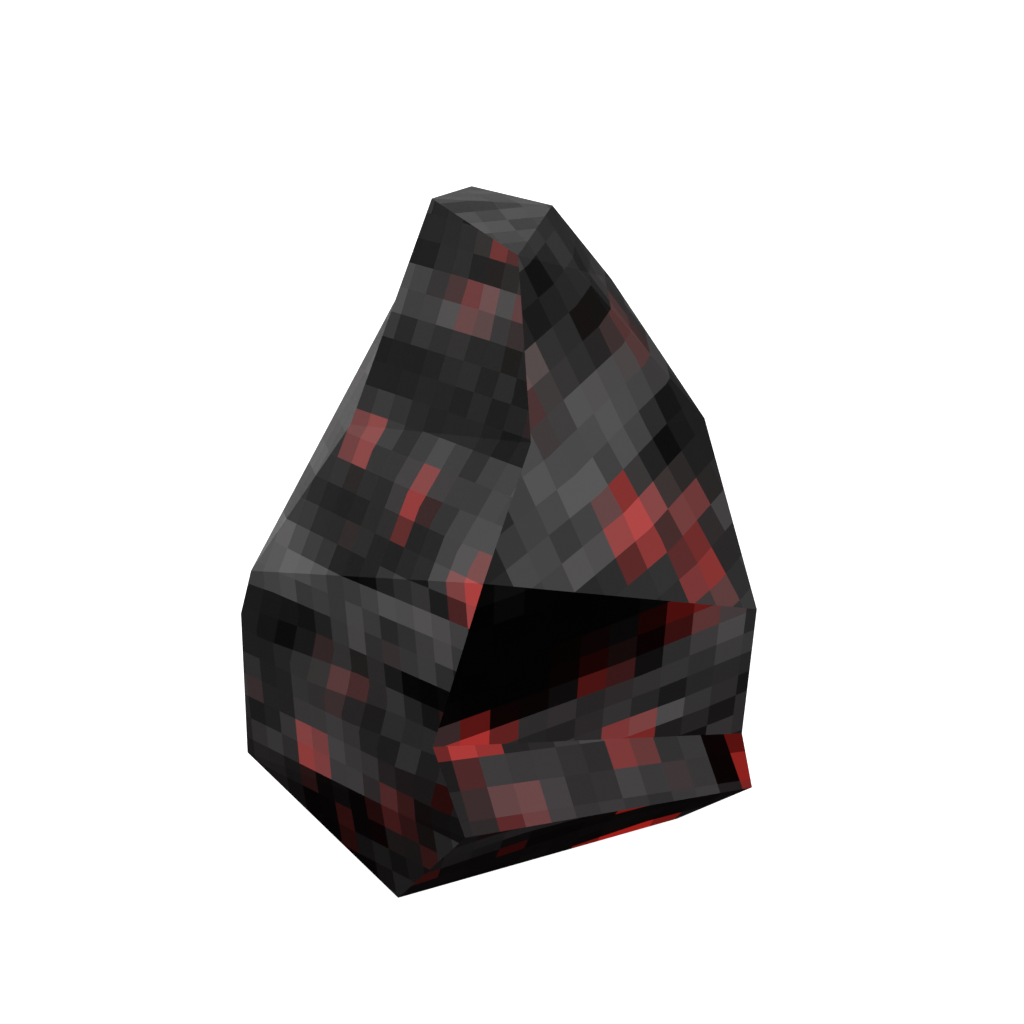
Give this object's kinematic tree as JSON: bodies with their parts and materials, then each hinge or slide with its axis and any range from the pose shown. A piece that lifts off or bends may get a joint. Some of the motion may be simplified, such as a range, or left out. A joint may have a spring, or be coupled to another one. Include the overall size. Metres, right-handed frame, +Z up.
{
  "type": "coal lump",
  "caption": "Tall faceted lump of coal with a small tilted crown, an overhanging brow over a hollow throat, glowing ember spots and a flat foot.",
  "frame": {"origin": "under the middle of the lump's bounding box, on the plane of its flat foot", "axes": "+Z up from the foot to the crown, -Y out of the front, where the brow overhangs the throat, +X to the right seen from the front"},
  "size_m": [0.0937, 0.096, 0.12],
  "materials": {
    "coal": "dull black coal with flat fracture faces, a mosaic of grey tones and a few dull red ember spots"
  },
  "bodies": {
    "root": {"coal_lump": "coal"}
  },
  "joints": []
}
